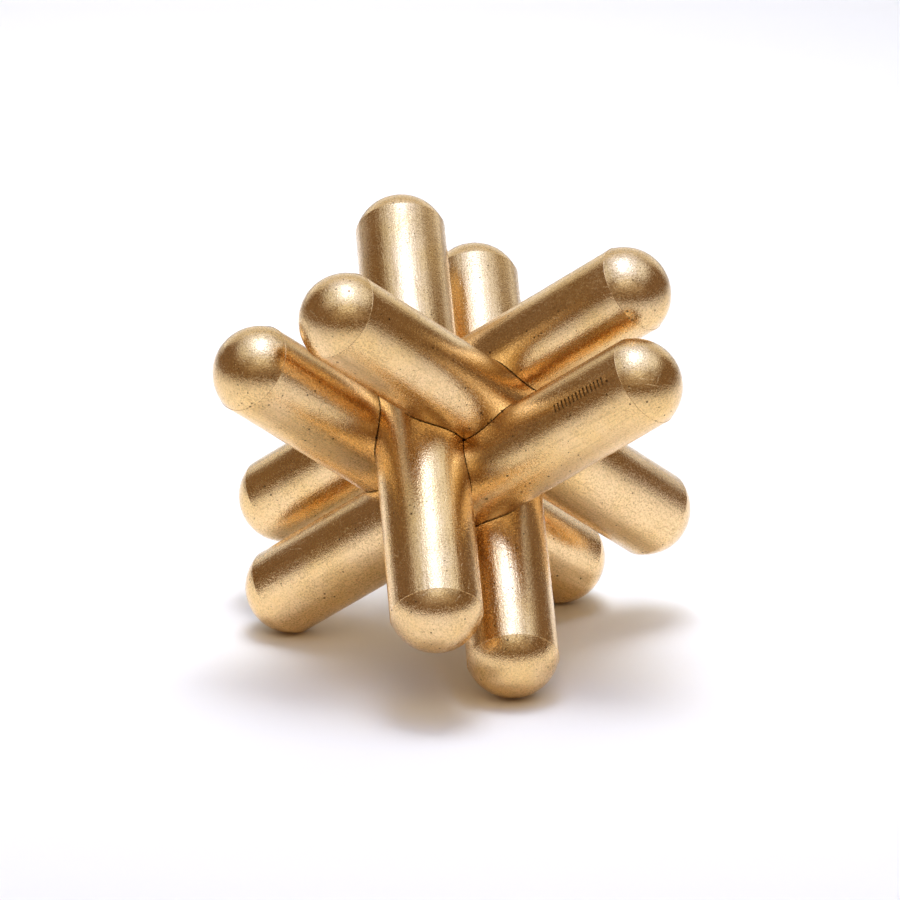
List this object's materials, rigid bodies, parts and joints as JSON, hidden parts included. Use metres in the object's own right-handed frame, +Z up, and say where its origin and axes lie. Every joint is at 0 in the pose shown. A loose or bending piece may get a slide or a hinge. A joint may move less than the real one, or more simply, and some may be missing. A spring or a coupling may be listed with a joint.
{
  "type": "interlocking burr puzzle",
  "caption": "Interlocking burr puzzle of round brass rods with domed ends; a plain sliding key rod locks the saddle-cut rods, and the closed puzzle stands on rod ends.",
  "frame": {"origin": "on the table, under the centre of the closed burr, which stands on three rod ends", "axes": "+Z up, along the burr's body diagonal; the two lock rods lie in planes of constant X and drop toward -Y, the front; +X to the right seen from the front"},
  "size_m": [0.069, 0.071, 0.0587],
  "materials": {
    "key_brass": "satin",
    "rod_brass": "satin"
  },
  "bodies": {
    "locked_rods": {"anchor_rod": "rod_brass", "left_lock_rod": "rod_brass", "right_lock_rod": "rod_brass", "rear_cross_rod": "rod_brass", "front_cross_rod": "rod_brass"},
    "key": {"key_rod": "key_brass"}
  },
  "joints": [
    {"name": "key_slide", "type": "slide", "parent": "locked_rods", "child": "key", "axis": [-0.7071, -0.4082, 0.5774], "range_m": [-0.015, 0.08]}
  ]
}
